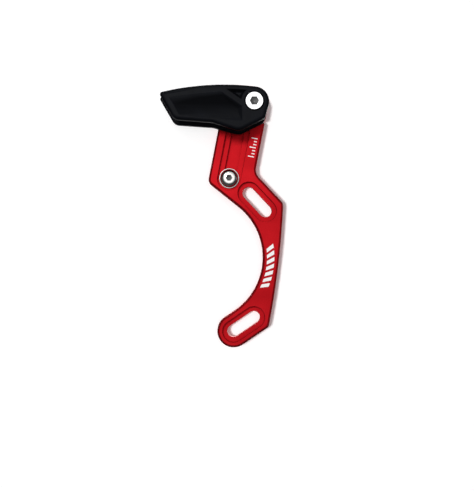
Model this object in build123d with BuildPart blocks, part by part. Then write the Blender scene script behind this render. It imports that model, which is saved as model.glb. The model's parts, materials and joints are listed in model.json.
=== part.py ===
"""Bicycle chain guide: a slotted backplate, a sliding carrier, and a two-piece moulded chain channel.

Frame: X forward, Y inboard, Z up, in millimetres. The origin is on the bottom bracket's axis, in the
plane where the backplate's rear face meets the frame's tabs. What is outboard of that plane has negative Y.
"""

import os
from math import acos, atan2, cos, degrees, radians, sin, tan

from build123d import *

# Backplate
plate_thickness = 5.5
plate_edge_break = 1.1
slot_circle_radius = 42.2
upper_slot_angle = 43.2
lower_slot_angle = -55.8
frame_slot_length = 19.2
slot_width = 6.5
frame_slot_rim = 2.5
recess_depth = 2.0
recess_edge_break = 0.15
upper_land = 3.7
lower_land = 2.75
inner_land = 2.7
lower_corner_reach = 10.0
lower_corner_round = 3.2
upper_corner_reach = 9.9
upper_corner_round = 3.4
outer_edge_bow = 1.2

# Arm of the backplate
arm_lean = 11.0
arm_left = 10.45
arm_right = 12.75
clamp_web = 0.85
clamp_set_in = 2.2
arm_foot_drop = 4.2
arm_foot_round = 3.6
arm_shoulder_round = 6.0
arm_top_round = 2.2
slide_slot_rim = 2.8
height_travel = 23.5
slot_end_play = 0.3

# Slider behind the arm
slider_width = 13.0
slider_thickness = 4.2
slider_channel_depth = 1.5
slider_edge_break = 0.5
slide_clearance = 0.1
head_drop = 5.7
head_gap = 0.4
head_corner_round = 0.8
key_width = 4.0
key_length = 9.0
key_height = 1.4
key_clearance = 0.1

# Bolts and washer
guide_bolt_along = 38.8
guide_bolt_across = 5.46
guide_bolt_diameter = 6.0
guide_head_diameter = 9.3
guide_head_height = 2.8
guide_head_proud = 0.3
guide_head_edge = 0.4
guide_hex = 4.0
guide_hex_depth = 1.8
guide_thread_depth = 7.0
clamp_bolt_diameter = 5.0
clamp_head_diameter = 9.5
clamp_head_flat = 3.6
clamp_head_height = 3.0
clamp_head_rim = 0.7
clamp_hex = 3.0
clamp_hex_depth = 1.6
socket_land = 0.15
socket_cone_angle = 30.0
bolt_tip_chamfer = 0.6
thread_mouth = 0.4
washer_diameter = 10.4
washer_thickness = 1.0
bolt_clearance = 0.05
through_clearance = 0.25

# Moulded chain channel
guide_running_gap = 0.3
wall = 3.0
roof = 2.4
chain_gap = 8.5
end_radius = 7.45
end_top_angle = 83.0
end_side_angle = -17.0
nose_reach = 47.9
nose_rise = 4.3
nose_round = 1.3
nose_slant = 60.0
heel_drop = 9.2
heel_round = 4.5
belly_reach = 21.0
belly_drop = 10.6
belly_round = 6.0
lobe_reach = 7.6
lobe_drop = 15.0
lobe_round = 6.0
chin_reach = 5.2
chin_drop = 8.6
chin_round = 2.4
inner_nose_extra = 1.1
inner_belly_extra = 0.6
guide_edge_round = 1.8
lead_in = 0.8
dish_depth = 1.4
dish_radius = 22.0
dish_slope = 1.6
dish_drop = 2.3
dish_land = 3.4
dish_draft = 60.0
pocket_depth = 2.0
pocket_draft = 35.0
pocket_land = 2.4
rib_width = 2.4
rib_start_reach = 18.0
rib_start_rise = 5.6
rib_end_reach = 6.0
rib_end_drop = 2.6
boss_land = 1.4
counterbore_clearance = 0.35


def polar(radius, angle):
    return Vector(radius * cos(radians(angle)), radius * sin(radians(angle)))


def meeting_point(point_a, direction_a, point_b, direction_b):
    """Where two straight lines in the picture plane cross."""
    gap = point_b - point_a
    turn = direction_a.X * direction_b.Y - direction_a.Y * direction_b.X
    along = (gap.X * direction_b.Y - gap.Y * direction_b.X) / turn
    return point_a + direction_a * along


def facing(depth):
    """A sketch plane square to the bottom bracket: X forward, the sketch's Y up, its normal outboard."""
    return Plane(origin=(0, depth, 0), x_dir=(1, 0, 0), z_dir=(0, -1, 0))


# Places that several pieces share
slide_along = Vector(sin(radians(arm_lean)), cos(radians(arm_lean)))
slide_across = Vector(cos(radians(arm_lean)), -sin(radians(arm_lean)))
slide_angle = 90 - arm_lean
frame_recess_width = slot_width + 2 * frame_slot_rim
frame_recess_length = frame_slot_length + 2 * frame_slot_rim
slide_recess_width = slot_width + 2 * slide_slot_rim
upper_slot = polar(slot_circle_radius, upper_slot_angle)
upper_radial = polar(1, upper_slot_angle)
upper_along = polar(1, upper_slot_angle - 90)
lower_slot = polar(slot_circle_radius, lower_slot_angle)
lower_radial = polar(1, lower_slot_angle)
lower_along = polar(1, lower_slot_angle + 90)
clamp_reach = (frame_recess_length + slide_recess_width) / 2 + clamp_web
clamp_centre = upper_slot - upper_along * clamp_reach - upper_radial * clamp_set_in
guide_centre = clamp_centre + slide_along * guide_bolt_along + slide_across * guide_bolt_across

plate_front = -plate_thickness
recess_floor = plate_front + recess_depth
channel_floor = -slider_channel_depth
slider_front = channel_floor + slide_clearance
slider_back = slider_front + slider_thickness
inner_back = plate_front - guide_running_gap
inner_front = inner_back - wall
outer_back = inner_front - chain_gap
outer_front = outer_back - wall
washer_back = recess_floor - slide_clearance
washer_front = washer_back - washer_thickness
guide_head_back = outer_front - guide_head_proud + guide_head_height


def arm_point(along, across):
    return clamp_centre + slide_along * along + slide_across * across


def frame_slots(width, length):
    """The two slots for the frame's bolts, each square to its own radius."""
    for centre, angle in ((upper_slot, upper_slot_angle), (lower_slot, lower_slot_angle)):
        with Locations((centre.X, centre.Y)):
            SlotOverall(length, width, rotation=angle + 90)


def slide_slot(width, start, end):
    """A round-ended slot on the slide's line. Its end centres lie at start and end above the clamp bolt."""
    middle = arm_point((start + end) / 2, 0)
    with Locations((middle.X, middle.Y)):
        SlotCenterToCenter(end - start, width, rotation=slide_angle)


def backplate_outline(sketch):
    """The plate's outline: arm, relief round the bottom bracket, lower lug, bowed edge and shoulder."""
    upper_outward = frame_recess_width / 2 + upper_land
    lower_outward = frame_recess_width / 2 + lower_land
    inward = frame_recess_width / 2 + inner_land
    arm_top = guide_bolt_along - head_drop - head_gap
    foot = arm_point(-arm_foot_drop, -arm_left)
    top_left = arm_point(arm_top, -arm_left)
    top_right = arm_point(arm_top, arm_right)
    upper_corner = upper_slot + upper_along * upper_corner_reach + upper_radial * upper_outward
    lower_corner = lower_slot + lower_along * lower_corner_reach + lower_radial * lower_outward
    shoulder = meeting_point(top_right, slide_along, upper_corner, upper_along)
    relief_radius = slot_circle_radius - inward
    relief_start_angle = degrees(atan2(foot.Y, foot.X) - acos(relief_radius / foot.length))
    relief_start = polar(relief_radius, relief_start_angle)
    relief_middle = polar(relief_radius, (relief_start_angle + lower_slot_angle) / 2)
    lug_end = lower_slot - lower_along * (frame_slot_length - slot_width) / 2
    lug_top = lug_end - lower_radial * inward
    lug_bottom = lug_end + lower_radial * lower_outward

    with BuildLine() as edge_line:
        FilletPolyline(
            upper_corner, shoulder, top_right, top_left, foot, relief_start,
            radius=[arm_shoulder_round, arm_top_round, arm_top_round, arm_foot_round],
        )
        relief = ThreePointArc(relief_start, relief_middle, polar(relief_radius, lower_slot_angle))
        Line(relief @ 1, lug_top)
        TangentArc(lug_top, lug_bottom, tangent=-lower_along)
        Line(lug_bottom, lower_corner)
        SagittaArc(lower_corner, upper_corner, -outer_edge_bow)
    make_face(edge_line.edges())
    for corner, size in ((upper_corner, upper_corner_round), (lower_corner, lower_corner_round)):
        fillet(sketch.vertices().sort_by_distance(corner)[0], size)


def guide_outline(sketch, centre, nose_extra, belly_extra):
    """The side view that both halves of the chain channel share, set out from the guide bolt's centre."""
    end_top = centre + polar(end_radius, end_top_angle)
    end_middle = centre + polar(end_radius, (end_top_angle + end_side_angle) / 2)
    end_side = centre + polar(end_radius, end_side_angle)
    nose_height = nose_rise + heel_drop + belly_extra
    chin = centre + Vector(chin_reach, -chin_drop)
    lobe = centre + Vector(-lobe_reach, -lobe_drop)
    belly = centre + Vector(-belly_reach, -belly_drop - belly_extra)
    nose = centre + Vector(-nose_reach - nose_extra, nose_rise)
    heel = nose + Vector(nose_height / tan(radians(nose_slant)), -nose_height)

    with BuildLine() as edge_line:
        round_end = ThreePointArc(end_top, end_middle, end_side)
        TangentArc(end_side, chin, tangent=round_end % 1)
        FilletPolyline(chin, lobe, belly, heel, nose, radius=[lobe_round, belly_round, heel_round])
        TangentArc(end_top, nose, tangent=polar(1, end_top_angle + 90))
    make_face(edge_line.edges())
    for corner, size in ((nose, nose_round), (chin, chin_round)):
        fillet(sketch.vertices().sort_by_distance(corner)[0], size)


def slider_head(sketch):
    """The slider's upper end: round over the guide bolt, square below, flush with the arm's right edge."""
    head_radius = arm_right - guide_bolt_across
    top = guide_bolt_along + head_radius
    bottom = guide_bolt_along - head_drop
    rounds = (
        (arm_point(top, -slider_width / 2), head_radius),
        (arm_point(top, arm_right), head_radius),
        (arm_point(bottom, arm_right), head_corner_round),
    )
    with BuildLine() as edge_line:
        Polyline(*(corner for corner, size in rounds), arm_point(bottom, -slider_width / 2), close=True)
    make_face(edge_line.edges())
    for corner, size in rounds:
        fillet(sketch.vertices().sort_by_distance(corner)[0], size)


def hex_socket(centre, head_front, across_flats, depth):
    """Cut a hexagon socket into a bolt's head, with the cone that its drill leaves at the bottom."""
    with BuildSketch(facing(head_front)) as hexagon:
        with Locations((centre.X, centre.Y)):
            RegularPolygon(across_flats / 2, 6, major_radius=False)
    extrude(hexagon.sketch, amount=-depth, mode=Mode.SUBTRACT)
    cone_radius = across_flats / 2 - socket_land
    cone_height = cone_radius * tan(radians(socket_cone_angle))
    cone_middle = (centre.X, head_front + depth + cone_height / 2, centre.Y)
    with Locations(Plane(origin=cone_middle, x_dir=(1, 0, 0), z_dir=(0, 1, 0))):
        Cone(cone_radius, 0, cone_height, mode=Mode.SUBTRACT)


with BuildPart() as backplate:
    with BuildSketch(facing(plate_front)) as outline:
        backplate_outline(outline)
    extrude(amount=-plate_thickness)
    chamfer(backplate.faces().sort_by(Axis.Y)[0].edges(), plate_edge_break)
    with BuildSketch(facing(plate_front)):
        frame_slots(frame_recess_width, frame_recess_length)
        slide_slot(slide_recess_width, -slot_end_play, height_travel + slot_end_play)
    extrude(amount=-recess_depth, mode=Mode.SUBTRACT)
    chamfer(backplate.faces().sort_by(Axis.Y)[0].inner_wires().edges(), recess_edge_break)
    with BuildSketch(facing(0)):
        slide_slot(slider_width + 2 * slide_clearance, -slot_end_play, guide_bolt_along)
    extrude(amount=slider_channel_depth, mode=Mode.SUBTRACT)
    with BuildSketch(facing(0)):
        frame_slots(slot_width, frame_slot_length)
        slide_slot(slot_width, -slot_end_play, height_travel + slot_end_play)
    extrude(amount=plate_thickness, mode=Mode.SUBTRACT)
backplate.part.label = "backplate"

with BuildPart() as slider:
    with BuildSketch(facing(slider_back)) as rear_layer:
        slider_head(rear_layer)
        slide_slot(slider_width, 0, guide_bolt_along)
    extrude(amount=slider_thickness)
    chamfer(slider.faces().sort_by(Axis.Y)[-1].edges(), slider_edge_break)
    with BuildSketch(facing(slider_front)) as front_layer:
        slider_head(front_layer)
    extrude(amount=slider_front - inner_back)
    key_across = (guide_bolt_across - guide_bolt_diameter / 2 - slider_width / 2) / 2
    key_centre = arm_point(guide_bolt_along, key_across)
    with BuildSketch(facing(inner_back)):
        with Locations((key_centre.X, key_centre.Y)):
            SlotOverall(key_length, key_width, rotation=slide_angle)
    extrude(amount=key_height)
    with BuildSketch(facing(slider_back)):
        with Locations((guide_centre.X, guide_centre.Y)):
            Circle(guide_bolt_diameter / 2 + bolt_clearance)
        with Locations((clamp_centre.X, clamp_centre.Y)):
            Circle(clamp_bolt_diameter / 2 + bolt_clearance)
    extrude(amount=slider_back - inner_back, mode=Mode.SUBTRACT)
    chamfer(slider.faces().sort_by(Axis.Y)[-1].inner_wires().edges(), thread_mouth)
slider.part.label = "slider"

with BuildPart() as inner_guide:
    with BuildSketch(facing(inner_back)) as outline:
        guide_outline(outline, guide_centre, inner_nose_extra, inner_belly_extra)
    extrude(amount=wall)
    chain_side = inner_guide.faces().sort_by(Axis.Y)[0].edges()
    chamfer(chain_side.filter_by(lambda edge: edge.center().Z < guide_centre.Y), lead_in)
    with BuildSketch(facing(inner_back)):
        with Locations((key_centre.X, key_centre.Y)):
            SlotOverall(key_length + 2 * key_clearance, key_width + 2 * key_clearance, rotation=slide_angle)
    extrude(amount=key_height + key_clearance, mode=Mode.SUBTRACT)
    with BuildSketch(facing(inner_back)):
        with Locations((guide_centre.X, guide_centre.Y)):
            Circle(guide_bolt_diameter / 2 + through_clearance)
    extrude(amount=wall, mode=Mode.SUBTRACT)
inner_guide.part.label = "inner_guide"

# The scoop along the outer wall: it deepens towards the bolt and stops at the nose's land and at the rib
rib_start = guide_centre + Vector(-rib_start_reach, rib_start_rise)
rib_end = guide_centre + Vector(-rib_end_reach, -rib_end_drop)
rib_direction = (rib_end - rib_start).normalized()
rib_normal = Vector(-rib_direction.Y, rib_direction.X)
nose_direction = polar(1, -nose_slant)
nose_land = guide_centre + Vector(dish_land / sin(radians(nose_slant)) - nose_reach, nose_rise)
dish_top = meeting_point(nose_land, nose_direction, rib_start, rib_direction)
with BuildPart() as dish:
    with BuildSketch(facing(outer_front)):
        with BuildLine():
            Polyline(
                dish_top,
                rib_end,
                rib_end - Vector(0, lobe_drop),
                meeting_point(dish_top, nose_direction, rib_end - Vector(0, lobe_drop), Vector(1, 0)),
                close=True,
            )
        make_face()
    extrude(amount=-dish_depth, taper=dish_draft)
    scoop_direction = (cos(radians(dish_slope)), sin(radians(dish_slope)), 0)
    scoop_centre = (rib_end.X, outer_front + dish_depth - dish_radius, guide_centre.Y - dish_drop)
    with Locations(Plane(origin=scoop_centre, x_dir=(0, 0, 1), z_dir=scoop_direction)):
        Cylinder(dish_radius, 4 * nose_reach, mode=Mode.INTERSECT)

# The pocket between the rib, the roof and the boss, with sloping sides so that the mould lets go of it
counterbore_radius = guide_head_diameter / 2 + counterbore_clearance
rib_top = rib_start + rib_normal * rib_width
with BuildPart() as pocket:
    with BuildSketch(facing(outer_front)) as pocket_mouth:
        guide_outline(pocket_mouth, guide_centre - Vector(0, pocket_land), 0, 0)
        with BuildLine():
            Polyline(
                rib_top - rib_direction * nose_reach,
                meeting_point(rib_top, rib_direction, guide_centre, Vector(0, 1)),
                guide_centre + Vector(0, nose_reach),
                close=True,
            )
        make_face(mode=Mode.INTERSECT)
        with Locations((guide_centre.X, guide_centre.Y)):
            Circle(counterbore_radius + boss_land, mode=Mode.SUBTRACT)
    extrude(amount=-pocket_depth, taper=pocket_draft)

with BuildPart() as outer_guide:
    with BuildSketch(facing(inner_front)) as outline:
        guide_outline(outline, guide_centre, 0, 0)
    extrude(amount=chain_gap + wall)
    fillet(outer_guide.faces().sort_by(Axis.Y)[0].edges(), guide_edge_round)
    with BuildSketch(facing(inner_front)) as channel:
        guide_outline(channel, guide_centre - Vector(0, roof), 0, 0)
        with Locations((guide_centre.X, guide_centre.Y)):
            Circle(end_radius, mode=Mode.SUBTRACT)
    extrude(amount=chain_gap, mode=Mode.SUBTRACT)
    add(dish.part, mode=Mode.SUBTRACT)
    add(pocket.part, mode=Mode.SUBTRACT)
    with BuildSketch(facing(outer_front)):
        with Locations((guide_centre.X, guide_centre.Y)):
            Circle(counterbore_radius)
    extrude(amount=guide_head_proud - guide_head_height, mode=Mode.SUBTRACT)
    with BuildSketch(facing(inner_front)):
        with Locations((guide_centre.X, guide_centre.Y)):
            Circle(guide_bolt_diameter / 2 + through_clearance)
    extrude(amount=chain_gap + wall, mode=Mode.SUBTRACT)
outer_guide.part.label = "outer_guide"

with BuildPart() as guide_bolt:
    with BuildSketch(facing(guide_head_back)):
        with Locations((guide_centre.X, guide_centre.Y)):
            Circle(guide_head_diameter / 2)
    extrude(amount=guide_head_height)
    chamfer(guide_bolt.faces().sort_by(Axis.Y)[0].edges(), guide_head_edge)
    with BuildSketch(facing(guide_head_back)):
        with Locations((guide_centre.X, guide_centre.Y)):
            Circle(guide_bolt_diameter / 2)
    extrude(amount=guide_head_back - inner_back - guide_thread_depth)
    chamfer(guide_bolt.faces().sort_by(Axis.Y)[-1].edges(), bolt_tip_chamfer)
    hex_socket(guide_centre, outer_front - guide_head_proud, guide_hex, guide_hex_depth)
guide_bolt.part.label = "guide_bolt"

with BuildPart() as clamp_washer:
    with BuildSketch(facing(washer_back)):
        with Locations((clamp_centre.X, clamp_centre.Y)):
            Circle(washer_diameter / 2)
            Circle(clamp_bolt_diameter / 2 + through_clearance, mode=Mode.SUBTRACT)
    extrude(amount=washer_thickness)
clamp_washer.part.label = "clamp_washer"

clamp_seat = (clamp_centre.X, washer_front, clamp_centre.Y)
with BuildPart() as clamp_bolt:
    with BuildSketch(Plane(origin=clamp_seat, x_dir=(1, 0, 0), z_dir=(0, 0, -1))):
        with BuildLine():
            rim = Polyline((0, 0), (clamp_head_diameter / 2, 0), (clamp_head_diameter / 2, clamp_head_rim))
            dome = TangentArc((clamp_head_flat / 2, clamp_head_height), rim @ 1, tangent=(1, 0))
            Polyline(dome @ 0, (0, clamp_head_height), (0, 0))
        make_face()
    revolve(axis=Axis(clamp_seat, (0, -1, 0)))
    with BuildSketch(facing(washer_front)):
        with Locations((clamp_centre.X, clamp_centre.Y)):
            Circle(clamp_bolt_diameter / 2)
    extrude(amount=washer_front - slider_back + slider_edge_break)
    chamfer(clamp_bolt.faces().sort_by(Axis.Y)[-1].edges(), bolt_tip_chamfer)
    hex_socket(clamp_centre, washer_front - clamp_head_height, clamp_hex, clamp_hex_depth)
clamp_bolt.part.label = "clamp_bolt"

os.makedirs("parts", exist_ok=True)
for piece in (backplate, slider, inner_guide, outer_guide, guide_bolt, clamp_washer, clamp_bolt):
    export_step(piece.part, f"parts/{piece.part.label}.step")
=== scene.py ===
# %% [markdown]
# A chain guide sits beside the front chainring of a mountain bike and stops the chain from jumping off.
# This one has a red anodised backplate, a slider behind its arm, and a black moulded channel for the
# chain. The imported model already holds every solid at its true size, so this lesson only dresses it: it
# brings the solids in, softens their edges, gives each one its finish, prints the marks, and lights it.
# Whatever else stands in the file, such as Blender's start-up cube, is cleared away first.

# %% Load the solids
import json
import math

import bmesh
import bpy
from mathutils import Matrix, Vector

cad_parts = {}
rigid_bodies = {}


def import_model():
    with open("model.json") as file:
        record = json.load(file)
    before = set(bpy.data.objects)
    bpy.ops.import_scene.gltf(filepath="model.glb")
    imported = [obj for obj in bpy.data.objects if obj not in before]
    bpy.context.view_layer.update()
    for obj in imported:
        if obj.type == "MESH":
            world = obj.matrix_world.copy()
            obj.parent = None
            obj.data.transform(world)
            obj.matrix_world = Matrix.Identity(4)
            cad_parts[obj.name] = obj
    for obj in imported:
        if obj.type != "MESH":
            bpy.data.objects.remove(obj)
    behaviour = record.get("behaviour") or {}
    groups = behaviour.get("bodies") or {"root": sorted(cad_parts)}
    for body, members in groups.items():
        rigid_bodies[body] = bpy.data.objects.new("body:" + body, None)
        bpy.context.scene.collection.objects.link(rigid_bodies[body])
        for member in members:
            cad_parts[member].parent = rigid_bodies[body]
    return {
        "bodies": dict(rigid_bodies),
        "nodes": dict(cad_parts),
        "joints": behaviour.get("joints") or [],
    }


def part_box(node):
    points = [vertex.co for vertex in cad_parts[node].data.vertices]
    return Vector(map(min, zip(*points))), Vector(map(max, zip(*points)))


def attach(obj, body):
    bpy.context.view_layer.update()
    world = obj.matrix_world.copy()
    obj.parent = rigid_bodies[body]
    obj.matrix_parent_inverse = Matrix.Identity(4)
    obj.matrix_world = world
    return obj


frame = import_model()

MM = 0.001

nodes = frame["nodes"]
packed = set(nodes.values()) | set(frame["bodies"].values())
for stray in set(bpy.data.objects) - packed:
    bpy.data.objects.remove(stray)
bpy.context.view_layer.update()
print("solids:", ", ".join(sorted(nodes)))

# %% [markdown]
# The picture is a flat lay: the part lies on a white sheet and the camera looks straight down on it. In
# the part's own frame that sheet stands upright behind the backplate, and the camera looks along +Y. A
# camera can be aimed by eye, but here it is worked out: the frame slots give the scale of the picture,
# the guide's two halves, which lie at different depths, give the distance, and the part's own axis, the
# bottom bracket's, falls on one known pixel.

# %% Camera
PHOTO_SIZE = (474, 491)
AXIS_PIXEL = (198.04, 257.4)
PIXEL = 0.52 * MM
CAMERA_DISTANCE = 340 * MM
NEAREST_SEEN = 10 * MM
SENSOR = 36.0
UPRIGHT = (math.radians(90), 0, 0)

plate_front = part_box("backplate")[0].y
camera_x = (PHOTO_SIZE[0] / 2 - AXIS_PIXEL[0]) * PIXEL
camera_z = (AXIS_PIXEL[1] - PHOTO_SIZE[1] / 2) * PIXEL
camera_data = bpy.data.cameras.new("camera")
camera_data.sensor_width = SENSOR
camera_data.lens = SENSOR * CAMERA_DISTANCE / (max(PHOTO_SIZE) * PIXEL)
camera_data.clip_start = NEAREST_SEEN
camera = bpy.data.objects.new("camera", camera_data)
camera.location = (camera_x, plate_front - CAMERA_DISTANCE, camera_z)
camera.rotation_euler = UPRIGHT
bpy.context.scene.collection.objects.link(camera)
bpy.context.scene.camera = camera
print(f"camera: lens {camera_data.lens:.1f} mm at {[round(v, 4) for v in camera.location]}")

# %% [markdown]
# Metal and moulded edges are never knife sharp, and a thin rounded edge is what catches the light. The
# solids come in as triangles, with their points doubled along every crease. So the doubles are welded
# first, and the triangles of each flat face are joined into one face, because a bevel folds over on thin
# triangles. Turned pieces keep their triangles, because joining them would leave stars on the cones of
# the sockets. A bevel modifier then rounds each crease by about a tenth of a millimetre, and the solids
# themselves stay as they are. Its width stays under half of the narrowest chamfer beside it, so that the
# two rounds never meet. The outer half has some faces narrower than that, so its bevel is also clamped
# where two rounds would overlap.

# %% Soften the edges
WELD_REACH = 0.001 * MM
FLAT_ANGLE = math.radians(0.5)
BEVEL_STEPS = 2
SHAPED_CREASE = math.radians(28)
TURNED_CREASE = math.radians(50)
SHAPED_EDGES = {"backplate": 0.09, "slider": 0.08, "inner_guide": 0.15, "outer_guide": 0.15}
TURNED_EDGES = {"guide_bolt": 0.10, "clamp_bolt": 0.05, "clamp_washer": 0.12}
NARROW_FACED = ("outer_guide",)


def weld_points(node):
    weld = node.modifiers.new("weld", "WELD")
    weld.merge_threshold = WELD_REACH


def join_flats(node):
    flats = node.modifiers.new("flats", "DECIMATE")
    flats.decimate_type = "DISSOLVE"
    flats.angle_limit = FLAT_ANGLE


def round_edges(node, width, crease, clamped):
    bevel = node.modifiers.new("edge", "BEVEL")
    bevel.width = width
    bevel.segments = BEVEL_STEPS
    bevel.limit_method = "ANGLE"
    bevel.angle_limit = crease
    bevel.use_clamp_overlap = clamped
    bevel.harden_normals = True


for node_name, width in SHAPED_EDGES.items():
    weld_points(nodes[node_name])
    join_flats(nodes[node_name])
    round_edges(nodes[node_name], width * MM, SHAPED_CREASE, clamped=node_name in NARROW_FACED)
for node_name, width in TURNED_EDGES.items():
    weld_points(nodes[node_name])
    round_edges(nodes[node_name], width * MM, TURNED_CREASE, clamped=False)
print("edges softened on", len(SHAPED_EDGES) + len(TURNED_EDGES), "solids")

# %% [markdown]
# Every finish below is a small node tree. These helpers add a node, wire it, and hand on its output, so
# that a recipe reads from top to bottom: where on the surface, which pattern, what colour and roughness,
# how deep. A noise pattern seldom leaves its middle values, so a contrast says which of its values are
# taken as the darkest and the lightest.

# %% Helpers for patterns
SOFT_CONTRAST = (0.3, 0.7)
FIRM_CONTRAST = (0.35, 0.65)


def new_finish(name):
    finish = bpy.data.materials.new(name)
    finish.use_nodes = True
    tree = finish.node_tree
    return finish, tree, tree.nodes["Principled BSDF"]


def add(tree, kind, **settings):
    node = tree.nodes.new(kind)
    for key, value in settings.items():
        setattr(node, key, value)
    return node


def noise(tree, size, detail=2.0):
    """Noise whose blobs are about this many metres across."""
    place = add(tree, "ShaderNodeTexCoord")
    pattern = add(tree, "ShaderNodeTexNoise")
    pattern.inputs["Scale"].default_value = 1 / size
    pattern.inputs["Detail"].default_value = detail
    tree.links.new(place.outputs["Object"], pattern.inputs["Vector"])
    return pattern.outputs["Fac"]


def ramp(tree, pattern, contrast, dark, light):
    """Turn a pattern's values, within the contrast, into colours from dark to light."""
    colours = add(tree, "ShaderNodeValToRGB")
    colours.color_ramp.elements[0].position = contrast[0]
    colours.color_ramp.elements[1].position = contrast[1]
    colours.color_ramp.elements[0].color = (*dark, 1)
    colours.color_ramp.elements[1].color = (*light, 1)
    tree.links.new(pattern, colours.inputs["Fac"])
    return colours.outputs["Color"]


def step(tree, source, start, end, low, high):
    """A number that goes from low to high while the source goes from start to end."""
    scale = add(tree, "ShaderNodeMapRange")
    scale.inputs["From Min"].default_value = start
    scale.inputs["From Max"].default_value = end
    scale.inputs["To Min"].default_value = low
    scale.inputs["To Max"].default_value = high
    tree.links.new(source, scale.inputs["Value"])
    return scale.outputs["Result"]


def spread(tree, pattern, low, high):
    """Turn a pattern's middle values into a number from low to high."""
    return step(tree, pattern, *SOFT_CONTRAST, low, high)


print("pattern helpers: noise, ramp, step, spread")

# %% Helpers for surfaces


def times(tree, first, second):
    product = add(tree, "ShaderNodeMath", operation="MULTIPLY")
    tree.links.new(first, product.inputs[0])
    tree.links.new(second, product.inputs[1])
    return product.outputs[0]


def mix_in(tree, kind, share, base, other):
    """The base where the share is nothing, and this one other colour or number where it is one."""
    mix = add(tree, "ShaderNodeMix", data_type=kind)
    mix.inputs["B"].default_value = other
    tree.links.new(share, mix.inputs["Factor"])
    tree.links.new(base, mix.inputs["A"])
    return mix.outputs["Result"]


def bump(tree, pattern, depth, shader):
    """Raise the surface by the pattern, this many metres from its lowest to its highest."""
    relief = add(tree, "ShaderNodeBump")
    relief.inputs["Distance"].default_value = depth
    tree.links.new(pattern, relief.inputs["Height"])
    tree.links.new(relief.outputs["Normal"], shader.inputs["Normal"])


def middle(node_name):
    low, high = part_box(node_name)
    return (low + high) / 2


def dress(finish, *node_names):
    for node_name in node_names:
        slots = nodes[node_name].data.materials
        slots.clear()
        slots.append(finish)
    print(finish.name, "on", ", ".join(node_names))


print("surface helpers: times, mix_in, bump, middle, dress")

# %% [markdown]
# The plate and the slider are milled from aluminium, blasted with fine beads, and anodised red. The dye
# sits in a clear oxide skin on the metal, so the colour behaves as a tinted metal and not as paint. A
# metallic shader gives that. The blasting is a fine noise in the relief, and the dye drifts a little in
# tone.

# %% Red anodised aluminium
BEAD_SIZE = 0.11 * MM
BEAD_RELIEF = 0.006 * MM
BEAD_ROUGH = (0.57, 0.67)
DRIFT_SIZE = 16 * MM
RED_DEEP = (0.262, 0.0048, 0.0074)
RED_BRIGHT = (0.328, 0.0068, 0.0102)


def red_anodised():
    finish, tree, shader = new_finish("red_anodised_finish")
    shader.inputs["Metallic"].default_value = 1.0
    drift = noise(tree, DRIFT_SIZE)
    tone = ramp(tree, drift, FIRM_CONTRAST, RED_DEEP, RED_BRIGHT)
    tree.links.new(tone, shader.inputs["Base Color"])
    beads = noise(tree, BEAD_SIZE)
    gloss = spread(tree, beads, *BEAD_ROUGH)
    tree.links.new(gloss, shader.inputs["Roughness"])
    bump(tree, beads, BEAD_RELIEF, shader)
    return finish


dress(red_anodised(), "backplate", "slider")

# %% [markdown]
# The two halves of the channel are moulded in black nylon. The mould is spark-eroded, so the skin has a
# fine even grain that breaks up the shine. A nearly black base with a middling roughness gives the satin
# look, and a fine noise in the relief gives the grain. The scoop in the outer half is grained more
# coarsely, so it is duller than the land round it, and its colour is darkened there as painted shade. It
# is told apart by its depth behind the front face. The painted shade and the coarse grain both fade
# towards the lower edge, where the scoop runs out into the land.

# %% Where the scoop is
SCOOP_ENTRY = (0.12 * MM, 0.50 * MM)
SCOOP_FLOOR = (1.45 * MM, 1.70 * MM)
# The painted shade and the coarse grain fade out towards the scoop's lower edge.
SCOOP_SHADE_AND_GRAIN_FADE = (-6.5 * MM, -1.0 * MM)
SCOOP_SHADE_AND_GRAIN_LEAST = 0.1


def scoop_shade_and_grain_share(tree, front, height):
    """One in the upper scoop, nothing on the land in front of it or in what lies deeper. It places both the
    painted shade and the coarse grain.
    """
    place = add(tree, "ShaderNodeTexCoord")
    parts = add(tree, "ShaderNodeSeparateXYZ")
    tree.links.new(place.outputs["Object"], parts.inputs["Vector"])
    entry = step(tree, parts.outputs["Y"], front + SCOOP_ENTRY[0], front + SCOOP_ENTRY[1], 0, 1)
    floor = step(tree, parts.outputs["Y"], front + SCOOP_FLOOR[0], front + SCOOP_FLOOR[1], 1, 0)
    fade = step(tree, parts.outputs["Z"], height + SCOOP_SHADE_AND_GRAIN_FADE[0], height + SCOOP_SHADE_AND_GRAIN_FADE[1], SCOOP_SHADE_AND_GRAIN_LEAST, 1)
    return times(tree, times(tree, entry, floor), fade)


outer_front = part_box("outer_guide")[0].y
scoop_height = middle("guide_bolt").z
print(f"scoop: from {SCOOP_ENTRY[0] / MM:.2f} to {SCOOP_FLOOR[1] / MM:.2f} mm behind the outer half's face")

# %% Black moulded nylon
GRAIN_SIZE = 0.16 * MM
GRAIN_DETAIL = 3.0
GRAIN_RELIEF = 0.010 * MM
FLOW_SIZE = 7 * MM
BLACK_DEEP = (0.0020, 0.0024, 0.0036)
BLACK_PALE = (0.0032, 0.0038, 0.0056)
NYLON_ROUGH = (0.48, 0.62)
NYLON_SHINE = 0.045
# Painted shade: the darker black laid on the scoop.
SCOOP_PAINTED_SHADE = (0.0010, 0.0012, 0.0018)
SCOOP_ROUGH = 0.85


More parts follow.
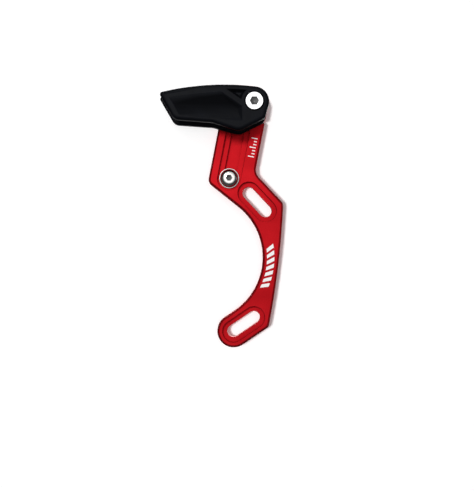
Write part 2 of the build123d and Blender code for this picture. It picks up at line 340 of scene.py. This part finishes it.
def black_moulding():
    finish, tree, shader = new_finish("black_moulding_finish")
    scoop = scoop_shade_and_grain_share(tree, outer_front, scoop_height)
    flow = noise(tree, FLOW_SIZE)
    tone = ramp(tree, flow, FIRM_CONTRAST, BLACK_DEEP, BLACK_PALE)
    # Painted shade: the base colour is darkened in the upper scoop.
    shade = mix_in(tree, "RGBA", scoop, tone, (*SCOOP_PAINTED_SHADE, 1))
    tree.links.new(shade, shader.inputs["Base Color"])
    grain = noise(tree, GRAIN_SIZE, GRAIN_DETAIL)
    gloss = spread(tree, grain, *NYLON_ROUGH)
    dull = mix_in(tree, "FLOAT", scoop, gloss, SCOOP_ROUGH)
    tree.links.new(dull, shader.inputs["Roughness"])
    shader.inputs["Specular IOR Level"].default_value = NYLON_SHINE
    bump(tree, grain, GRAIN_RELIEF, shader)
    return finish


dress(black_moulding(), "inner_guide", "outer_guide")

# %% [markdown]
# The bolts and the washer are turned on a lathe, which leaves very fine rings round their axis. A
# ring-shaped wave pattern centred on the bolt makes those rings: at a scale of one, Blender's wave
# repeats every tenth of pi. The punched sockets are left dull, and their colour is darkened as painted
# shade. A socket is what lies below the head's face within a small radius, so a mask of depth and
# radius finds it.

# %% Rings and sockets
WAVE_PERIOD = math.pi / 10
RING_WOBBLE = 0.4
SOCKET_DEPTH = (0.02 * MM, 0.25 * MM)


def from_centre(tree, centre):
    """Each point's place, seen from the bolt's centre."""
    place = add(tree, "ShaderNodeTexCoord")
    shift = add(tree, "ShaderNodeVectorMath", operation="SUBTRACT")
    shift.inputs[1].default_value = centre
    tree.links.new(place.outputs["Object"], shift.inputs[0])
    return shift.outputs["Vector"]


def lathe_rings(tree, place, ring_width):
    rings = add(tree, "ShaderNodeTexWave", wave_type="RINGS", rings_direction="Y")
    rings.inputs["Scale"].default_value = WAVE_PERIOD / ring_width
    rings.inputs["Distortion"].default_value = RING_WOBBLE
    tree.links.new(place, rings.inputs["Vector"])
    return rings.outputs["Fac"]


def socket_share(tree, place, front, socket_radius):
    """One in the socket, nothing on the rest of the bolt. The front is measured from the bolt's centre."""
    parts = add(tree, "ShaderNodeSeparateXYZ")
    tree.links.new(place, parts.inputs["Vector"])
    flat = add(tree, "ShaderNodeCombineXYZ")
    tree.links.new(parts.outputs["X"], flat.inputs["X"])
    tree.links.new(parts.outputs["Z"], flat.inputs["Z"])
    radius = add(tree, "ShaderNodeVectorMath", operation="LENGTH")
    tree.links.new(flat.outputs["Vector"], radius.inputs[0])
    inside = add(tree, "ShaderNodeMath", operation="LESS_THAN")
    inside.inputs[1].default_value = socket_radius
    tree.links.new(radius.outputs["Value"], inside.inputs[0])
    sunk = step(tree, parts.outputs["Y"], front + SOCKET_DEPTH[0], front + SOCKET_DEPTH[1], 0, 1)
    return times(tree, inside.outputs[0], sunk)


guide_centre = middle("guide_bolt")
clamp_centre = middle("clamp_washer")
guide_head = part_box("guide_bolt")[0].y
clamp_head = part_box("clamp_bolt")[0].y
print(f"bolt heads: {guide_head / MM:.1f} and {clamp_head / MM:.1f} mm from the frame's face")

# %% [markdown]
# The bolt through the guide is bright plated, the clamp bolt is stainless steel and a little greyer, and
# the washer under it is a darker satin steel. All three are one recipe with other numbers: a metal whose
# tone and gloss drift a little, with the rings in its relief and the dull socket, darkened by painted
# shade, mixed in.

# %% Turned steel
STAIN_SIZE = 1.5 * MM
STAIN_DIM = 0.86
GLOSS_DRIFT = 0.05
RING_RELIEF = 0.0015 * MM
# Painted shade: the dark colour laid inside the sockets.
SOCKET_PAINTED_SHADE = (0.16, 0.16, 0.16)
SOCKET_ROUGH = 0.5


def turned_steel(name, centre, head_front, socket_radius, pale, rough, ring_width):
    finish, tree, shader = new_finish(name)
    shader.inputs["Metallic"].default_value = 1.0
    place = from_centre(tree, centre)
    socket = socket_share(tree, place, head_front - centre.y, socket_radius)
    stain = noise(tree, STAIN_SIZE)
    dim = [STAIN_DIM * value for value in pale]
    tone = ramp(tree, stain, SOFT_CONTRAST, dim, pale)
    # Painted shade: the colour inside the socket is darkened.
    colour = mix_in(tree, "RGBA", socket, tone, (*SOCKET_PAINTED_SHADE, 1))
    tree.links.new(colour, shader.inputs["Base Color"])
    gloss = spread(tree, stain, rough, rough + GLOSS_DRIFT)
    dull = mix_in(tree, "FLOAT", socket, gloss, SOCKET_ROUGH)
    tree.links.new(dull, shader.inputs["Roughness"])
    rings = lathe_rings(tree, place, ring_width)
    bump(tree, rings, RING_RELIEF, shader)
    return finish


plated = turned_steel(
    "bright_steel_finish", guide_centre, guide_head, socket_radius=2.4 * MM,
    pale=(0.84, 0.84, 0.85), rough=0.09, ring_width=0.12 * MM,
)
stainless = turned_steel(
    "stainless_finish", clamp_centre, clamp_head, socket_radius=1.8 * MM,
    pale=(0.62, 0.61, 0.59), rough=0.10, ring_width=0.10 * MM,
)
satin = turned_steel(
    "satin_washer_finish", clamp_centre, clamp_head, socket_radius=0.0,
    pale=(0.23, 0.225, 0.22), rough=0.30, ring_width=0.14 * MM,
)
dress(plated, "guide_bolt")
dress(stainless, "clamp_bolt")
dress(satin, "clamp_washer")

# %% [markdown]
# White marks are laser cut through the dye, or printed. Plain ones stand here: a short height scale on
# the arm, and a row of slanted bars along the arc. Each mark is a thin plate of ink of its own, cut to
# the face it lies on, because a mark painted by a pattern would be lost with its coordinates when the
# part is used elsewhere.

# %% White ink
INK_DIM = (0.80, 0.79, 0.79)
INK_BRIGHT = (0.90, 0.90, 0.89)
INK_ROUGH = (0.5, 0.65)
INK_RELIEF = 0.004 * MM
SPECKLE_SIZE = 0.2 * MM


def white_ink():
    finish, tree, shader = new_finish("white_ink")
    speckle = noise(tree, SPECKLE_SIZE)
    tone = ramp(tree, speckle, SOFT_CONTRAST, INK_DIM, INK_BRIGHT)
    tree.links.new(tone, shader.inputs["Base Color"])
    gloss = spread(tree, speckle, *INK_ROUGH)
    tree.links.new(gloss, shader.inputs["Roughness"])
    bump(tree, speckle, INK_RELIEF, shader)
    return finish


ink = white_ink()
print("ink:", ink.name)

# %% Plates of ink
INK_THICKNESS = 0.03 * MM
INK_SINK = 0.005 * MM


def ink_plate(outlines, name):
    """Thin plates on the backplate's front face. Each outline is a loop of (x, z) points."""
    mesh = bmesh.new()
    back = plate_front + INK_SINK
    front = plate_front - INK_THICKNESS
    for outline in outlines:
        rear = [mesh.verts.new((x, back, z)) for x, z in outline]
        face = [mesh.verts.new((x, front, z)) for x, z in outline]
        mesh.faces.new(rear)
        mesh.faces.new(list(reversed(face)))
        for k in range(len(outline)):
            after = (k + 1) % len(outline)
            mesh.faces.new((rear[k], face[k], face[after], rear[after]))
    bmesh.ops.recalc_face_normals(mesh, faces=mesh.faces)
    data = bpy.data.meshes.new(name)
    mesh.to_mesh(data)
    mesh.free()
    data.materials.append(ink)
    plate = bpy.data.objects.new(name, data)
    bpy.context.scene.collection.objects.link(plate)
    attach(plate, "plate")
    return plate


print("ink plates stand", INK_THICKNESS / MM, "mm proud of the plate")

# %% [markdown]
# The height scale stands beside the adjusting slot, where a rider reads how far the guide is moved. Its
# ticks are spaced along the slide's own axis, which the joint gives, and every third one is longer.

# %% Height scale on the arm
TICK_GAPS = 6
TICK_PITCH = 1.6 * MM
TICK_WIDTH = 0.5 * MM
TICK_SHORT = 1.6 * MM
TICK_LONG = 3.2 * MM
LONG_EVERY = 3
SCALE_ALONG = 13.2 * MM
SCALE_ACROSS = 10.6 * MM

slide_axis = frame["joints"][0]["axis"]
along = Vector((slide_axis[0], slide_axis[2]))
across = Vector((along.y, -along.x))
clamp_point = Vector((clamp_centre.x, clamp_centre.z))


def arm_place(step_along, step_across):
    return clamp_point + along * step_along + across * step_across


def tick(k):
    length = TICK_SHORT if k % LONG_EVERY else TICK_LONG
    low = SCALE_ALONG + k * TICK_PITCH - TICK_WIDTH / 2
    high = low + TICK_WIDTH
    return [
        arm_place(low, SCALE_ACROSS),
        arm_place(high, SCALE_ACROSS),
        arm_place(high, SCALE_ACROSS - length),
        arm_place(low, SCALE_ACROSS - length),
    ]


height_scale = ink_plate([tick(k) for k in range(TICK_GAPS + 1)], "height_scale")
print("height scale:", TICK_GAPS + 1, "ticks,", TICK_PITCH / MM, "mm apart")

# %% [markdown]
# The slanted bars follow the arc of the plate. Each one lies between two circles round the bottom
# bracket's axis, so two radii and a few angles, in degrees, place them all.

# %% Slanted bars on the arc
BAR_COUNT = 7
BAR_TOP_ANGLE = 7.0
BAR_STEP = 5.0
BAR_SWEEP = 3.0
BAR_SLANT = 3.4
BAR_INNER = 35.9 * MM
BAR_OUTER = 39.7 * MM


def on_circle(radius, angle):
    return (radius * math.cos(math.radians(angle)), radius * math.sin(math.radians(angle)))


def bar(k):
    top = BAR_TOP_ANGLE - k * BAR_STEP
    return [
        on_circle(BAR_INNER, top),
        on_circle(BAR_OUTER, top + BAR_SLANT),
        on_circle(BAR_OUTER, top + BAR_SLANT - BAR_SWEEP),
        on_circle(BAR_INNER, top - BAR_SWEEP),
    ]


arc_bars = ink_plate([bar(k) for k in range(BAR_COUNT)], "arc_bars")
print("arc:", BAR_COUNT, "bars")

# %% [markdown]
# The sheet that the part lies on is a plain white plane just behind the slider. It takes the part's
# shadow. From behind, it would hide the part, so its rear side is clear, and its rim fades out so that no
# edge shows. The lamps light it a little less towards the rim, so a faint glow of its own makes up for
# that.

# %% White paper
SHEET_GLOW = (0.06, 0.16)
GLOW_REACH = (0.04, 0.13)
RIM_REACH = (0.12, 0.20)
WHITE = (1, 1, 1, 1)


def sheet_paper():
    paper, tree, shader = new_finish("sheet_paper")
    output = tree.nodes["Material Output"]
    tree.nodes.remove(shader)
    white = add(tree, "ShaderNodeBsdfDiffuse")
    white.inputs["Color"].default_value = WHITE
    glow = add(tree, "ShaderNodeEmission")
    glow.inputs["Color"].default_value = WHITE
    lit = add(tree, "ShaderNodeAddShader")
    tree.links.new(white.outputs[0], lit.inputs[0])
    tree.links.new(glow.outputs[0], lit.inputs[1])
    place = add(tree, "ShaderNodeTexCoord")
    away = add(tree, "ShaderNodeVectorMath", operation="LENGTH")
    tree.links.new(place.outputs["Object"], away.inputs[0])
    level = step(tree, away.outputs["Value"], *GLOW_REACH, *SHEET_GLOW)
    tree.links.new(level, glow.inputs["Strength"])
    rim = step(tree, away.outputs["Value"], *RIM_REACH, 0, 1)
    side = add(tree, "ShaderNodeNewGeometry")
    clear_share = add(tree, "ShaderNodeMath", operation="MAXIMUM")
    tree.links.new(rim, clear_share.inputs[0])
    tree.links.new(side.outputs["Backfacing"], clear_share.inputs[1])
    clear = add(tree, "ShaderNodeBsdfTransparent")
    shown = add(tree, "ShaderNodeMixShader")
    tree.links.new(clear_share.outputs[0], shown.inputs["Fac"])
    tree.links.new(lit.outputs[0], shown.inputs[1])
    tree.links.new(clear.outputs[0], shown.inputs[2])
    tree.links.new(shown.outputs[0], output.inputs["Surface"])
    return paper


paper = sheet_paper()
print("paper: white out to", RIM_REACH[0], "m, clear from", RIM_REACH[1], "m")

# %% White sheet
SHEET_SIZE = 0.6
SHEET_GAP = 0.5 * MM

sheet_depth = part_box("slider")[1].y + SHEET_GAP
bpy.ops.mesh.primitive_plane_add(
    size=SHEET_SIZE, location=(camera_x, sheet_depth, camera_z), rotation=UPRIGHT
)
sheet = bpy.context.object
sheet.name = "sheet"
sheet.data.materials.append(paper)
sheet.visible_glossy = False
sheet.visible_diffuse = False
sheet.visible_shadow = False
print(f"sheet: {sheet_depth / MM:.1f} mm behind the frame's face")

# %% [markdown]
# A studio for shiny parts is mostly large white surfaces. The key lamp stands before the part, above it
# and to its left, so that the guide shades the arm below it. Light linking keeps that lamp off the sheet,
# where its shadow would spread. A second key lights the sheet alone, and only the plate and the slider
# block it, so its shadow stays narrow. A big soft box fills the front, and three fills light what the
# keys miss: the back, the top and the right side.

# %% Lamps
AIM = Vector((0.02, 0.0, 0.02))


def area_lamp(name, place, size, power):
    """A round lamp that points at the part. Its size is in metres and its power in watts."""
    data = bpy.data.lights.new(name, "AREA")
    data.shape = "DISK"
    data.size = size
    data.energy = power
    lamp = bpy.data.objects.new(name, data)
    lamp.location = place
    direction = AIM - Vector(place)
    lamp.rotation_euler = direction.to_track_quat("-Z", "Y").to_euler()
    bpy.context.scene.collection.objects.link(lamp)
    return lamp


def group_of(name, *things):
    group = bpy.data.collections.new(name)
    for thing in things:
        group.objects.link(thing)
    return group


key = area_lamp("key", place=(-0.26, -1.0, 0.34), size=0.26, power=8.6)
key.light_linking.receiver_collection = group_of("part", *nodes.values(), height_scale, arc_bars)
sheet_key = area_lamp("sheet_key", place=(-0.26, -1.0, -0.02), size=0.16, power=7.4)
sheet_key.light_linking.receiver_collection = group_of("sheet_alone", sheet)
sheet_key.light_linking.blocker_collection = group_of("flat_pieces", nodes["backplate"], nodes["slider"])
soft_box = area_lamp("soft_box", place=(0.0, -1.1, 0.12), size=1.2, power=3.2)
rear_fill = area_lamp("rear_fill", place=(0.2, 1.1, 0.3), size=1.0, power=13.0)
top_fill = area_lamp("top_fill", place=(0.0, 0.55, 0.9), size=0.8, power=9.0)
right_fill = area_lamp("right_fill", place=(0.9, -0.1, 0.0), size=0.3, power=1.2)
for lamp in (key, sheet_key, soft_box, rear_fill, top_fill, right_fill):
    print(f"lamp: {lamp.name}, {lamp.data.energy:.1f} W")

# %% [markdown]
# Shiny metal in an all-white room looks flat, because it has nothing dark to mirror. A dark band of felt
# round the part gives the edges and the domed bolt that. The camera doesn't see it, and it leans a
# little, as a flag on a studio stand does. It takes no part in the light: only reflections meet it.

# %% Dark band
BAND_RADIUS = 0.42
BAND_REACH = 0.36
BAND_SIDES = 48
BAND_LEAN = math.radians(14)
FELT_DARK = (0.05, 0.05, 0.05)
FELT_PALE = (0.08, 0.08, 0.08)
FELT_ROUGH = 1.0
WEAVE_SIZE = 20 * MM


def band_felt():
    felt, tree, shader = new_finish("band_felt")
    weave = noise(tree, WEAVE_SIZE)
    tone = ramp(tree, weave, SOFT_CONTRAST, FELT_DARK, FELT_PALE)
    tree.links.new(tone, shader.inputs["Base Color"])
    shader.inputs["Roughness"].default_value = FELT_ROUGH
    return felt


bpy.ops.mesh.primitive_cylinder_add(
    vertices=BAND_SIDES, radius=BAND_RADIUS, depth=2 * BAND_REACH, end_fill_type="NOTHING",
    location=(camera_x, 0, camera_z), rotation=(UPRIGHT[0] - BAND_LEAN, 0, 0),
)
band = bpy.context.object
band.name = "dark_band"
band.data.materials.append(band_felt())
band.visible_camera = False
band.visible_diffuse = False
band.visible_shadow = False
print("dark band: radius", BAND_RADIUS, "m")

# %% [markdown]
# The world is the white of the studio's walls. Where it is seen or mirrored it is plain white, and as a
# light it is much dimmer, so that the lamps model the part. A Light Path node tells the two kinds of ray
# apart.

# %% World
WORLD_DIM = 0.12

world = bpy.data.worlds.new("studio")
world.use_nodes = True
bpy.context.scene.world = world
walls = world.node_tree
dim = walls.nodes["Background"]
dim.inputs["Strength"].default_value = WORLD_DIM
dim.inputs["Color"].default_value = WHITE
bright = add(walls, "ShaderNodeBackground")
bright.inputs["Color"].default_value = WHITE
ray = add(walls, "ShaderNodeLightPath")
seen = add(walls, "ShaderNodeMath", operation="ADD")
walls.links.new(ray.outputs["Is Camera Ray"], seen.inputs[0])
walls.links.new(ray.outputs["Is Glossy Ray"], seen.inputs[1])
shown = add(walls, "ShaderNodeMath", operation="ADD", use_clamp=True)
walls.links.new(seen.outputs[0], shown.inputs[0])
walls.links.new(ray.outputs["Is Transmission Ray"], shown.inputs[1])
mix = add(walls, "ShaderNodeMixShader")
walls.links.new(shown.outputs[0], mix.inputs["Fac"])
walls.links.new(dim.outputs[0], mix.inputs[1])
walls.links.new(bright.outputs[0], mix.inputs[2])
walls.links.new(mix.outputs[0], walls.nodes["World Output"].inputs["Surface"])
bpy.context.scene.view_settings.view_transform = "Standard"
print("world: white to the eye,", WORLD_DIM, "as a light")
